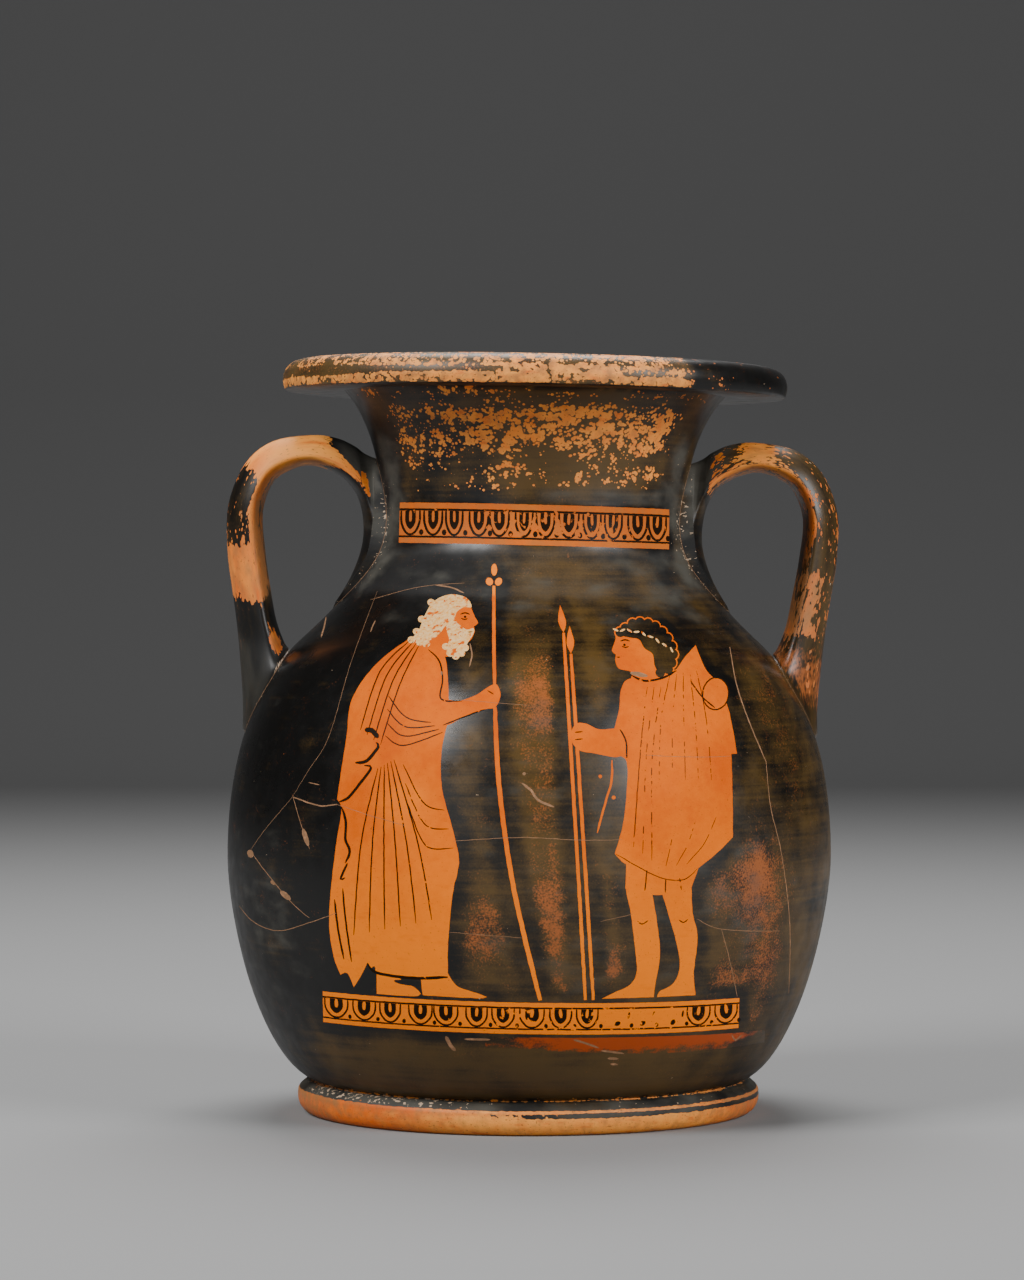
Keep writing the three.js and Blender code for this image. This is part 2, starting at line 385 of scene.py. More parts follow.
def bystander(middle, facing):
    """A youth wrapped in a mantle, standing at a place across and facing +1 or -1 along it."""
    def drawn(places):
        return [(middle + facing * x, z) for x, z in places]

    mantle = [
        (8, 207), (17, 200), (22, 186), (23, 165), (21, 150), (24, 130), (25, 105), (23, 84), (20, 74),
        (20, 74), (2, 71), (-18, 75), (-18, 75), (-22, 95), (-23, 125), (-21, 155), (-21, 178), (-16, 197),
        (-6, 206),
    ]
    feet = [(-8, 75), (-8, 75), (-9, 62.4), (-9, 62.4), (12, 62.4), (12, 64.5), (3, 68), (3, 75), (3, 75)]
    step = [(x + 14, z) for x, z in feet]
    head = [
        (-5, 205), (-6, 211), (-9, 217), (-7, 225), (0, 229.5), (8, 228), (12, 223), (13, 219.5),
        (15.4, 216.2), (13.6, 214.8), (13.4, 211), (10, 208.6), (6.5, 208.6), (6, 205),
    ]
    hair = [
        (-5.4, 212), (-7.6, 217), (-5.8, 224), (0, 228), (7.4, 226.8), (10.6, 223), (5.6, 221.6),
        (2.4, 218.6), (1.4, 214.6), (-2, 211.4),
    ]
    staff = [(30, 186), (31.4, 130), (32.6, 62.4)]
    lines = (
        ((-5, 205), (3, 202), (8, 206), 0.8),
        ((19, 146), (4, 140), (-18, 146), 0.9),
        ((8.6, 219.4), (10.6, 219.9), (12.4, 219.2), 0.6),
        ((9, 217.6), (11.4, 217.4), 0.5),
        ((11.4, 212.6), (13.4, 212.7), 0.5),
    )
    marks = filled(CLAY, *(drawn(outline) for outline in (feet, step, mantle, head)))
    marks += filled(SLIP, drawn(hair))
    marks += brushed(CLAY, (*drawn(staff), 1.8), tip=0.8)
    marks += fan(drawn([(16, 198), (4, 184), (-16, 178)]), drawn([(21, 178), (8, 160), (-17, 154)]), 4, 0.6)
    marks += fan(drawn([(-14, 148), (-15, 116), (-13, 78)]), drawn([(18, 140), (18, 112), (15, 78)]), 5, 0.6)
    return marks + brushed(LINE, *((*drawn(places), width) for *places, width in lines))


# Bands of tongues

RULE_STEPS = 12  # along each line of a band
SIDE_STEPS = 16  # along each side of its outline


def band_marks(left, right, low, high, tongues, slope, worn_from=2.0):
    """A reserved band of tongues between two lines, tilted by a slope. Past a share of it, dots are left."""
    height = high - low
    middle = (left + right) / 2

    def at(x, share):
        return Vector((x, low + share * height + slope * (x - middle)))

    def rule(share, width):
        places = [at(left + (right - left) * i / RULE_STEPS, share) for i in range(RULE_STEPS + 1)]
        return brushed(LINE, (*places, width), tip=1)

    corners = [at(left, 0), at(right, 0), at(right, 1), at(left, 1)]
    sides = []
    for start, end in zip(corners, corners[1:] + corners[:1]):
        sides += [start, *(start.lerp(end, i / SIDE_STEPS) for i in range(1, SIDE_STEPS)), end]
    marks = filled(CLAY, sides) + rule(0.83, 0.055 * height) + rule(0.16, 0.05 * height)
    pitch = (right - left) / tongues
    top = 0.8
    for i in range(tongues):
        x = left + pitch * (i + 0.5 + 0.05 * math.sin(2.7 * i))
        half = pitch * (0.4 + 0.03 * math.sin(1.9 * i + 1))
        marks += dabbed(LINE, (at(x + pitch / 2, 0.27), 0.12 * height, 0.15 * height, 0, 8))
        if i / tongues > worn_from and i < tongues - 2:
            marks += dabbed(LINE, (at(x, 0.34), 0.2 * height, 0.15 * height, 20 * i, 8))
            marks += brushed(LINE, (at(x + half, 0.7), at(x + half * 0.9, 0.5), 0.06 * height), tip=0.6)
            continue
        tongue = [at(x - half, top), at(x - half * 0.95, 0.5), at(x - half * 0.5, 0.27), at(x, 0.21)]
        tongue += [at(x + half * 0.5, 0.27), at(x + half * 0.95, 0.5), at(x + half, top)]
        marks += brushed(LINE, (*tongue, 0.058 * height), tip=0.7)
        core = [at(x - half * 0.56, top), at(x - half * 0.56, top), at(x - half * 0.52, 0.5), at(x, 0.34)]
        core += [at(x + half * 0.52, 0.5), at(x + half * 0.56, top), at(x + half * 0.56, top)]
        marks += filled(LINE, core)
        lean = 0.1 * half * math.sin(3.1 * i)
        marks += brushed(CLAY, (at(x + lean, top), at(x - lean, 0.53), 0.3 * half), tip=0.6)
    return marks


def front_bands():
    return band_marks(-60, 61, *NECK_BAND, 12, -0.01) + band_marks(-90, 92, *GROUND_BAND, 15, -0.014, 0.62)


def back_bands():
    return band_marks(-60, 60, *NECK_BAND, 12, 0) + band_marks(-88, 88, *GROUND_BAND, 14, 0)


# The strip below the ground band where the thin slip fired red
RED_STRIP = [
    (-19, 45.4), (-19, 45.4), (17, 44.9), (57, 44.3), (98, 42.8), (105, 42), (105, 42),
    (105, 36), (105, 36), (99, 36.4), (57, 36.6), (17, 38.6), (-19, 39.6), (-19, 39.6),
]

# Mended breaks, and scratches and chips that show the clay or the filling
BREAKS = (
    ((-69, 236), (-79, 205), (-88, 173), (-97, 158), (-105, 145), 0.16),
    ((-105, 145), (-116, 132), (-124, 121), 0.16),
    ((-104, 146), (-92, 143), (-84, 144), 0.56),
    ((-84, 144), (-70, 140), (-54, 136), 0.2),
    ((-104, 146), (-100, 134), (-96, 124), 0.28),
    ((-124, 121), (-116, 112), (-104, 100), (-96, 94), 0.32),
    ((-130, 95), (-122, 89), (-110, 87), (-96, 92), (-84, 97), 0.32),
    ((-72, 232), (-50, 238), (-30, 240), 0.18),
    ((-33, 190), (-18, 189), (-2, 188), 0.18),
    ((49, 167), (69, 166), (87, 166), 0.2),
    ((-33, 130), (-5, 132), (21, 131), (39, 131), 0.24),
    ((-35, 91), (-19, 90), (-3, 89), 0.2),
    ((30, 96), (44, 99), 0.2),
    ((72, 96), (83, 91), (110, 88), 0.28),
    ((83, 91), (87, 77), (91, 60), 0.28),
    ((88, 213), (90, 198), (95, 182), (103, 163), 0.48),
    ((103, 163), (105, 143), (110, 123), (115, 90), (116, 58), 0.32),
)
SCRATCHES = (
    ((-4, 155), (0, 152), (3, 148), (10, 145), 1.0),
    ((-36, 45), (-34, 41), (-32, 38.6), 1.6),
    ((-28, 44), (-17, 44), 0.9),
    ((19, 44), (24, 42.4), (30, 40), 0.9),
    ((31, 38.8), (36, 38), (41, 37.2), 0.9),
    ((34, 35.2), (38.6, 34.8), 1.1),
    ((35, 32.6), (38.4, 32.2), 1.0),
    ((89, 42.6), (91, 39.6), (94, 42), 0.6),
    ((-93, 224), (-93, 220), (-94, 215), 0.7),
    ((-69, 223), (-70, 221), (-71, 218), 0.5),
    ((-43, 239), (-36, 238), (-30, 235.6), 0.6),
    ((-27, 214), (-26, 209), (-27, 204), 0.6),
    ((-92, 152), (-97, 152.6), 0.4),
)
CHIPS = (
    ((-3, 159), 1.5, 1.4, 0), ((-98, 129), 2.2, 8, 20), ((-124, 119.5), 3.2, 3.6, 30),
    ((-107, 103), 6, 2.6, -35), ((-113, 108), 2.4, 1.6, -30), ((46.4, 201.4), 8, 2, -10),
    ((-39, 201), 0.9, 1.8, 0),
)


def damage_marks():
    return brushed(FILL, *BREAKS, tip=0.6) + brushed(FILL, *SCRATCHES, tip=0.3) + dabbed(FILL, *CHIPS)


# Handles, by stations from the neck to the shoulder: the outer or upper edge, the edge at the hole,
# the half width, and how far the flanks lean back to the neck
HANDLE_STATIONS = (
    ((71.2, 296), (91, 227.5), 23, 9),
    ((73.6, 296.6), (83, 241), 18.5, 8),
    ((75.8, 297.5), (78, 255), 16, 4.5),
    ((78, 298.7), (77.4, 267.5), 14.4, 2.5),
    ((82, 301.6), (80.6, 279.5), 13.4, 1.2),
    ((90, 305), (88.5, 288), 13, 0),
    ((101.3, 306.2), (101.5, 292.4), 13, 0),
    ((119.5, 303), (112, 289.7), 13, 0),
    ((132, 292.5), (119, 284), 13, 0),
    ((139.2, 274), (123.4, 271), 13, 0),
    ((139, 253), (121.8, 253), 13, 0),
    ((136.6, 236), (119, 236), 13, 0),
    ((134.6, 222), (116.3, 222), 13.2, 0),
    ((132.8, 206), (112.3, 211.5), 14.2, 0),
    ((131.3, 186), (109.5, 209), 17, 0),
    ((131.4, 170.5), (108.6, 208.7), 22, 0),
)
HANDLE_POINTS = 40
HANDLE_RIDGE = 1.6  # 2 would be an oval section, 1 a lozenge
HANDLE_KEEL = 0.4  # how far the widest line lies towards the hole, as a share of half the thickness
ROOT_KEEL = 0.25  # the same at the roots
ROOT_RINGS = 12  # rings from a root to the full keel
LIFT = 0.25  # each ring from a root stands at least this much further off the wall
FULL_LIFT = 1.5  # up to this
STRAIGHT_HALF = (13, 9)  # half the width and thickness of a handle pulled straight
RINGS_PER_STATION = 5
STREAK = 0.4  # how much marks are drawn out along the handles
STRAP_FROM = 18  # the first ring clear of the neck


def eased(values, at):
    """A smooth value at a place along evenly spaced ones."""
    i = min(int(at), len(values) - 2)
    a, b, c, d = (values[min(max(k, 0), len(values) - 1)] for k in range(i - 1, i + 3))
    t = at - i
    bent = (2 * a - 5 * b + 4 * c - d) * t * t
    return 0.5 * (2 * b + (c - a) * t + bent + (3 * b - a - 3 * c + d) * t ** 3)


def ridged(value):
    return math.copysign(abs(value) ** (2 / HANDLE_RIDGE), value)


def handle_rings(side):
    """Rings of places along one handle, the first and last lying on the jar's wall."""
    outer = [Vector(station[0]) for station in HANDLE_STATIONS]
    inner = [Vector(station[1]) for station in HANDLE_STATIONS]
    half_widths = [station[2] for station in HANDLE_STATIONS]
    leans = [station[3] for station in HANDLE_STATIONS]
    count = (len(HANDLE_STATIONS) - 1) * RINGS_PER_STATION
    rings = []
    for k in range(count + 1):
        at = k / RINGS_PER_STATION
        edge, hole = eased(outer, at), eased(inner, at)
        middle, reach = (edge + hole) / 2, (edge - hole) / 2
        from_end = min(k, count - k)
        keel = ROOT_KEEL + (HANDLE_KEEL - ROOT_KEEL) * min(1, from_end / ROOT_RINGS)
        ring = []
        for j in range(HANDLE_POINTS):
            angle = math.tau * j / HANDLE_POINTS
            across = ridged(math.sin(angle))
            place = middle + reach * (ridged(math.cos(angle)) - keel * across ** 2)
            place.x -= eased(leans, at) * across ** 2
            y = eased(half_widths, at) * across
            floor = math.sqrt(radius_at(place.y) ** 2 - y * y)
            x = floor if from_end == 0 else max(place.x, floor + min(LIFT * from_end, FULL_LIFT))
            ring.append(Vector((side * x, y, place.y)))
        rings.append(ring)
    return rings


def unrolled(place):
    """The spot of the sheet under a place on the wall."""
    return Vector((math.atan2(place.x, -place.y) * WRAP, read_off(HEIGHTS, ARCS, place.z)))


# Fields: how worn, brown, red, grey, pale, soiled and crusted the surface is at a place.
# In places the grey is painted sheen and the pale is painted light.

FIELDS = ("wear", "brown", "misfire", "rub_and_sheen", "pale_and_lit", "soil", "crust")


def note(bm, corner, **values):
    """Keeps field values at a corner of the mesh."""
    for name, value in values.items():
        corner[bm.verts.layers.float[name]] = value


def ramp(value, low, high):
    """None below low, all above high, eased between."""
    t = min(max((value - low) / (high - low), 0), 1)
    return t * t * (3 - 2 * t)


def plateau(value, low, high, soft):
    """All between low and high, fading to none outside."""
    return ramp(value, low - soft, low + soft) * (1 - ramp(value, high - soft, high + soft))


def blob(value, middle, reach):
    return math.exp(-(((value - middle) / reach) ** 2))


def angle_of(place):
    """Degrees round the jar from the front, towards +X."""
    return math.degrees(math.atan2(place.x, -place.y))


# Red spots of the front wall, as angle, height, their reaches and a strength
RED_SPOTS = (
    (3, 192, 7, 18, 0.8), (4, 150, 9, 22, 0.32), (-9, 92, 6, 16, 0.6), (5, 100, 6, 26, 0.75),
    (17, 72, 6, 14, 0.85), (3, 66, 8, 6, 0.6), (26, 90, 4, 26, 0.45), (35, 105, 5, 14, 0.5),
    (45, 112, 5, 20, 0.8), (41, 66, 6, 8, 0.7), (18, 120, 4, 22, 0.45), (52, 80, 6, 40, 0.5),
    (60, 180, 8, 40, 0.3),
)


def neck_wear(angle, z, drift):
    """Slip lost at the neck: most under the lip, less above the band, a little on the band."""
    middle = plateau(angle, -60, 56, 10)
    dense = 0.47 + 0.14 * ramp(angle, -25, 8) * ramp(z, 296, 306) + 0.12 * drift
    sparse = 0.37 + 0.11 * ramp(angle, 0, 25)
    wear = middle * (dense * plateau(z, 296, 319, 3) + sparse * plateau(z, 282.5, 295, 2.5))
    wear += 0.3 * middle * plateau(z, 277, 281, 1.5) * (1 - ramp(angle, -8, 2))
    wear += 0.4 * plateau(angle, -75, 70, 10) * ramp(z, 319, 323)
    return wear + 0.06 * middle * plateau(z, *NECK_BAND, 1) * (1 - ramp(angle, -20, 10))


def wall_brown(angle, z, drift):
    """Thin slip fired brown: from the middle to the right, round the foot, and on the neck."""
    brown = 0.85 * ramp(angle, -40, 5) * (1 - 0.45 * ramp(angle, 25, 50))
    brown = brown * (1 - ramp(abs(angle), 100, 140)) + 0.15 * drift
    low = 0.75 * ramp(angle, -75, -35) * (1 - 0.6 * ramp(angle, 5, 40)) * (1 - ramp(angle, 80, 120))
    neck = 0.4 * ramp(z, 252, 285) * plateau(angle, -60, 70, 15)
    return max(brown, low * plateau(z, 0, 46, 12), neck)


def wall_rub_and_sheen(angle, z, drift):
    """Grey on the slip: on the shoulder, between the figures, over the neck and low at both sides.

    It is worn by rubbing, and on the shoulder and between the figures also painted sheen for reflected light.
    """
    # On the shoulder: worn by rubbing, and a painted reflection of light from above in the gloss
    rub_and_sheen = plateau(z, 222, 256, 10) * plateau(angle, -50, 60, 15) * (0.4 + 0.35 * drift)
    # Between the figures: painted sheen, standing for light reflected in the gloss
    rub_and_sheen += 0.25 * plateau(angle, -12, 34, 8) * plateau(z, 60, 215, 15)
    rub_and_sheen += 0.6 * plateau(z, 276.5, 282, 1.2) * plateau(angle, 2, 55, 3)
    rub_and_sheen += 0.75 * plateau(z, 235, 310, 12) * blob(abs(angle), 66, 10)
    rub_and_sheen += 0.45 * blob(angle, -58, 12) * blob(z, 85, 30)
    return rub_and_sheen + 0.38 * blob(angle, 44, 12) * blob(z, 105, 45)


def wall_fields(place, contour, crust):
    """The fields of the outer wall. The contour is the broad black stripe drawn round each figure."""
    angle, z = angle_of(place), place.z
    drift = noise.noise(place * 0.02)
    brown = wall_brown(angle, z, drift)
    brown *= (1 - 0.5 * contour) * (1 - 0.35 * plateau(z, 210, 250, 10))
    red = sum(s * blob(angle, a, ra) * blob(z, h, rz) for a, h, ra, rz, s in RED_SPOTS)
    red = min(1, red) * (1 - contour)
    above_band = ramp(z, 275, 277)
    pale_and_lit = 0.55 * above_band + 0.75 * (1 - ramp(z, 60, 185)) + 1.6 * plateau(z, 236, 254, 4)
    pale_and_lit += 0.35 * blob(angle, -23, 7) * blob(z, 148, 14)
    crust += 0.4 * plateau(z, 240, 312, 10) * blob(abs(angle), 66, 10)
    soil = 0.6 * ramp(z, 252, 255) - 0.35 * above_band
    wear, rub_and_sheen = neck_wear(angle, z, drift), wall_rub_and_sheen(angle, z, drift)
    return dict(wear=wear, brown=brown, misfire=red, rub_and_sheen=rub_and_sheen, pale_and_lit=pale_and_lit, soil=soil, crust=crust)


def lip_fields(place):
    """The lip: bare clay over most of the front, a stripe and specks of slip left, black at the right."""
    angle, z = angle_of(place), place.z
    drift = noise.noise(place * 0.025)
    if z < LIP_FACE:
        return dict(wear=0.12, brown=0.2, pale_and_lit=0.3, rub_and_sheen=0.2)
    stripe_half = 2.3 - 1.3 * ramp(angle, -58, -22)
    stripe = plateau(z, LIP_STRIPE - stripe_half, LIP_STRIPE + stripe_half, 0.35)
    stripe *= 1 - ramp(angle, -14, 0)
    stripe += 0.6 * plateau(z, 330.6, 332, 0.35) * plateau(angle, 18, 36, 4)
    upper = ramp(z, 333.5, 336)
    bare = 0.7 - 0.2 * upper - 0.1 * (1 - ramp(z, 327.5, 329)) + 0.1 * drift
    wear = bare - 0.4 * stripe
    black_end = ramp(angle, 34.5, 38) * (1 - ramp(angle, 100, 130))
    wear = wear * (1 - black_end) + 0.23 * black_end
    hidden = ramp(abs(angle), 95, 130)
    wear = wear * (1 - hidden) + (0.5 + 0.3 * drift) * hidden
    kept = 1 - black_end
    return dict(wear=wear, brown=0.7 * kept, misfire=0.25 * kept, pale_and_lit=0.3 + 0.4 * kept, soil=0.5)


def foot_fields(place):
    """The foot: a clay face, a scuffed black bevel and a thin worn line where the body begins."""
    angle, z = angle_of(place), place.z
    scuffed = plateau(angle, -75, -20, 10)
    face = 1 - ramp(z, 10.8, 11.6)
    banded = plateau(angle, -4, 115, 14) * plateau(z, 7.7, 10, 0.4)
    wear = 0.15 + face * (0.85 - 0.8 * banded) + 0.42 * ramp(z, 14.3, 14.7)
    paler = 0.2 + 0.5 * plateau(angle, -28, 55, 18) - 0.15 * ramp(z, 8, 10)
    paler = max(paler, 0.9 * ramp(z, 14, 14.4))
    soil = 0.25 + 0.45 * ramp(abs(angle), 35, 75) + 0.2 * ramp(z, 7.5, 9.5)
    rub_and_sheen = 0.55 + 0.3 * scuffed
    crust = (0.5 + scuffed) * ramp(z, 11.4, 11.8)
    return dict(wear=wear, brown=0.2, rub_and_sheen=rub_and_sheen, pale_and_lit=paler, soil=soil, crust=crust)


def on_foot(place):
    return place.z < ROOT.y + 0.1 and math.hypot(place.x, place.y) > RECESS


def turned_fields(place):
    if on_foot(place):
        return foot_fields(place)
    if place.z > LIP_FROM:
        return lip_fields(place)
    return dict(wear=0.15, brown=0.4, pale_and_lit=0.5, soil=0.8, rub_and_sheen=0.3)


def left_handle_wear(along, out):
    """Bare clay over the arch and down the leg, with a black patch outside and a chip at each root."""
    bare_from = 0.36 - 0.12 * blob(out, 0.1, 0.4)
    wear = 0.95 * ramp(along, bare_from - 0.05, bare_from + 0.05) * (1 - ramp(along, 0.72, 0.795))
    wear -= 0.62 * ramp(out, -0.1, 0.3) * plateau(along, 0.535, 0.66, 0.012)
    wear -= 0.42 * ramp(-out, 0.45, 0.8) * plateau(along, 0.5, 0.8, 0.04)
    wear += 0.9 * blob(along, 0.2, 0.05) * blob(out, 0.45, 0.25)
    return wear + 0.9 * blob(along, 0.86, 0.055) * blob(out, -0.5, 0.4)


def right_handle_wear(along, out):
    """Bare along the ridge by the hole, patchy over the arch, and slip with flecks outside."""
    ridge = blob(out, -0.3, 0.4)
    wear = (0.42 + 0.3 * ridge) * plateau(along, 0.25, 0.69, 0.03)
    wear += 0.3 * blob(along, 0.4, 0.04) * ramp(out, 0, 0.4)
    wear -= 0.16 * blob(along, 0.5, 0.06) * ramp(out, 0, 0.4)
    wear += (0.63 - 0.16 * ramp(out, 0.5, 0.9)) * plateau(along, 0.69, 0.825, 0.015)
    wear -= 0.4 * blob(along, 0.665, 0.025) * blob(out, 0, 0.35)
    return wear + 0.34 * plateau(along, 0.83, 0.95, 0.03)


def handle_fields(side, along, out):
    """The fields of a handle, a share of the way along it and towards its outer edge."""
    roots = blob(along, 0, 0.08) + blob(along, 1, 0.06)
    inner_leg = plateau(along, -0.1, 0.34, 0.05)
    hole_side = ramp(-out, 0, 0.7) * (1 - ramp(along, 0.76, 0.82))
    # Grey on the inner legs near the neck: painted sheen, standing for light reflected in the gloss
    rub_and_sheen = inner_leg * (0.2 + 0.7 * ramp(out, 0, 0.5))
    crust = 0.7 * roots
    if side < 0:
        rub_and_sheen += 0.35 * ramp(along, 0.8, 0.86)
        crust += 1.3 * blob(along, 0.98, 0.05) * ramp(-out, 0, 0.5)
        brown = 0.1 + 0.7 * ramp(-out, 0.4, 0.7) * plateau(along, 0.5, 0.76, 0.03)
        soil = 0.12 + 0.33 * ramp(along, 0.5, 0.6) + 0.6 * hole_side
        # Paler over the top of the arch: painted light, where light from above falls on it
        pale_and_lit = 0.4 + 0.4 * blob(along, 0.4, 0.1)
        wear = left_handle_wear(along, out)
        return dict(wear=wear, brown=brown, rub_and_sheen=rub_and_sheen, pale_and_lit=pale_and_lit, soil=soil, crust=crust)
    brown = 0.15 + 0.3 * ramp(along, 0.25, 0.35)
    red = 0.75 * blob(along, 0.9, 0.06) + 0.4 * hole_side * plateau(along, 0.3, 0.7, 0.05)
    soil = 0.35 + 0.4 * ramp(along, 0.6, 0.68) + 0.4 * hole_side
    pale_and_lit = 0.3 + 0.35 * blob(along, 0.42, 0.12)
    wear = right_handle_wear(along, out)
    return dict(wear=wear, brown=brown, misfire=red, rub_and_sheen=rub_and_sheen, pale_and_lit=pale_and_lit, soil=soil, crust=crust)


# The outer wall

def hand_drawn(spot):
    """A spot moved by the small unsteadiness of a brush."""
    place = Vector((spot.x, spot.y, 0)) * HAND_RATE
    return spot + Vector((noise.noise(place), noise.noise(place + Vector((0, 0, 9))))) * HAND


def anticlockwise(outline):
    """An outline in the order that encloses its inside."""
    area = sum(a.x * b.y - b.x * a.y for a, b in zip(outline, outline[1:] + outline[:1]))
    return outline if area > 0 else outline[::-1]


def widened(outline, distance):
    """An anticlockwise outline moved outwards."""
    wide = []
    for before, spot, after in zip(outline[-1:] + outline, outline, outline[1:] + outline[:1]):
        ahead = after - before
        wide.append(spot + Vector((ahead.y, -ahead.x)).normalized() * distance)
    return wide


def tree_of(spots):
    """A finder of the nearest of some spots of the sheet."""
    tree = KDTree(len(spots))
    for i, spot in enumerate(spots):
        tree.insert((spot.x, spot.y, 0), i)
    tree.balance()
    return tree


def sheet_triangles(marks):
    """Spots of the sheet, and its triangles with their finish, so that each mark has faces of its own."""
    left = SEAM - math.tau
    columns = [(left + math.tau * i / AROUND) * WRAP for i in range(AROUND + 1)]
    row_count = round(ARCS[-1] / SHEET_STEP)
    rows = [ARCS[-1] * j / row_count for j in range(row_count + 1)]
    border = [Vector((u, 0)) for u in columns]
    border += [Vector((columns[-1], v)) for v in rows[1:]]
    border += [Vector((u, ARCS[-1])) for u in columns[-2::-1]]
    border += [Vector((columns[0], v)) for v in rows[-2:0:-1]]
    spots = list(border)
    faces = [list(range(len(border)))]
    for outline, _ in marks:
        faces.append(list(range(len(spots), len(spots) + len(outline))))
        spots += anticlockwise(outline)
    lines = tree_of(spots)
    for j, v in enumerate(rows[1:-1]):
        for u, after in zip(columns, columns[1:]):
            spot = Vector((u + (after - u) * (0.5 if j % 2 else 0.02), v))
            if lines.find((spot.x, spot.y, 0))[2] > CLEAR_OF_LINES:
                spots.append(spot)
    made, _, triangles, _, _, sources = delaunay_2d_cdt(spots, [], faces, 0, SAME_SPOT, True)
    finishes = [SLIP] + [finish for _, finish in marks]
    finished = []
    for triangle, source in zip(triangles, sources):
        finish = finishes[max(source)] if source else SLIP
        if finish != CUT:
            finished.append((triangle, finish))
    return made, finished


def add_wall(bm, marks):
    spots, triangles = sheet_triangles(marks)
    figures = tree_of([spot for outline, finish in marks if finish == CLAY for spot in outline])
    roots = tree_of([spot for outline, finish in marks if finish == CUT for spot in outline])
    zone = bm.faces.layers.int["zone"]
    corners = []
    for spot in spots:
        place = rolled(spot)
        corner = bm.verts.new(place)
        contour = 1 - ramp(figures.find((spot.x, spot.y, 0))[2], CONTOUR * 0.7, CONTOUR * 1.3)
        crust = blob(roots.find((spot.x, spot.y, 0))[2], 0, CRUST_REACH)
        note(bm, corner, **wall_fields(place, contour, crust))
        corners.append(corner)
    for triangle, finish in triangles:
        face = bm.faces.new([corners[i] for i in triangle])
        face.material_index = finish
        face[zone] = PAINTED


# Foot, lip and inside

def turn(bm, profile):
    """Turns a line of places about the jar's axis."""
    before = len(bm.verts)
    corners = [bm.verts.new((p[0] * math.sin(SEAM), -p[0] * math.cos(SEAM), p[1])) for p in profile]
    edges = [bm.edges.new(pair) for pair in zip(corners, corners[1:])]
    bmesh.ops.spin(
        bm, geom=corners + edges, cent=(0, 0, 0), axis=(0, 0, 1), angle=math.tau, steps=AROUND, use_merge=True
    )
    for corner in list(bm.verts)[before:]:
        note(bm, corner, **turned_fields(corner.co))


def curved(*places, steps=8):
    """A curve leaving the first place for the second and reaching the fourth from the third."""
    return [Vector(spot) for spot in interpolate_bezier(*(Vector(place) for place in places), steps)]


def add_foot(bm):
    underside = [(0, 6.2), (40, 6), (70, 5.4)] + curved((84, 5), (89, 4.6), (90, 0), (93, 0), steps=6)
    edge = curved((99.2, 0), (102.6, 0), (105.2, 3.4), (105.2, 7.6))
    edge += [(105.2, 8.3), (105.15, 9.1), (105.1, 9.7), (105, 10.3)]
    edge += [(104.7, 10.9), (104.2, 11.6), (103.4, 12.3)]
    bevel = curved((101.6, 13.8), (100.6, 14.7), (98.6, 14.4), (98.8, 15), steps=6) + [ROOT]
    turn(bm, underside + edge + bevel)


def inner_wall():
    """The inside, from the flare of the mouth down to the floor."""
    places = []
    for i in range(len(PROFILE) - 1, 0, -INSIDE_STEP):
        upwards = PROFILE[i] - PROFILE[i - 1]
        inwards = Vector((-upwards.y, upwards.x)).normalized()
        places.append(PROFILE[i] + inwards * WALL)
    return places


def add_lip_and_inside(bm):
    under = [FLARE, (90, 326.2), (98, 326), (106, 326)]
    face = curved((112.2, 326), (113.6, 326), (114.2, 326.5), (114.4, 327.6), steps=5)
    face += curved((114.9, 330), (115.2, 334), (113.6, 337.6), (109.4, 339.2), steps=14)
    top = curved((106.4, 339.9), (103, 340.3), (97, 339), (92.6, 336.4), steps=7)
    floor = [(90, 17.4), (82, 15.6), (60, 14.6), (30, 14), (0, 13.6)]
    turn(bm, under + face + top + inner_wall() + floor)


def add_handle(bm, side, rings):
    """Skins the rings of a handle. Each corner keeps its place on the handle pulled straight."""
    zone = bm.faces.layers.int["zone"]
    straight = bm.verts.layers.float_vector["straight"]
    last = len(rings) - 1
    half_width, half_thickness = STRAIGHT_HALF
    middles = [sum(ring, Vector()) / HANDLE_POINTS for ring in rings]
    length = 0
    loops = []
    for k, ring in enumerate(rings):
        length += (middles[k] - middles[max(k - 1, 0)]).length
        loop = [bm.verts.new(place) for place in ring]
        for j, corner in enumerate(loop):
            angle = math.tau * j / HANDLE_POINTS
            note(bm, corner, **handle_fields(side, k / last, math.cos(angle)))
            across, out = half_width * math.sin(angle), half_thickness * math.cos(angle)
            corner[straight] = Vector((side * length * STREAK, across, out)) * METRES
        loops.append(loop)
    for i, (lower, upper) in enumerate(zip(loops, loops[1:])):
        for j in range(HANDLE_POINTS):
            k = (j + 1) % HANDLE_POINTS
            face = bm.faces.new((lower[j], lower[k], upper[k], upper[j]))
            face.material_index = SLIP if i < STRAP_FROM else STRAP
            face[zone] = HANDLE


# Handwork: unevenness and lean

def uneven(place):
    """An upright place moved by the slight waves of a thrown wall."""
    wave = noise.noise(place * 0.011) * 0.45 + noise.noise(place * 0.03 + Vector((7, 0, 3))) * 0.16
    outwards = Vector((place.x, place.y, 0))
    return place + outwards.normalized() * wave * min(1, place.z / STEADY_BELOW)


def leaning(place):
    """The jar's bend towards +X, growing from none at the foot to LEAN_DEG at the mouth."""
    bend = math.radians(LEAN_DEG) / HEIGHT
    tilt = bend * place.z
    x = bend * place.z ** 2 / 2 + place.x * math.cos(tilt)
    return Vector((x, place.y, place.z - place.x * math.sin(tilt)))


def settled(place):
    return leaning(uneven(place))


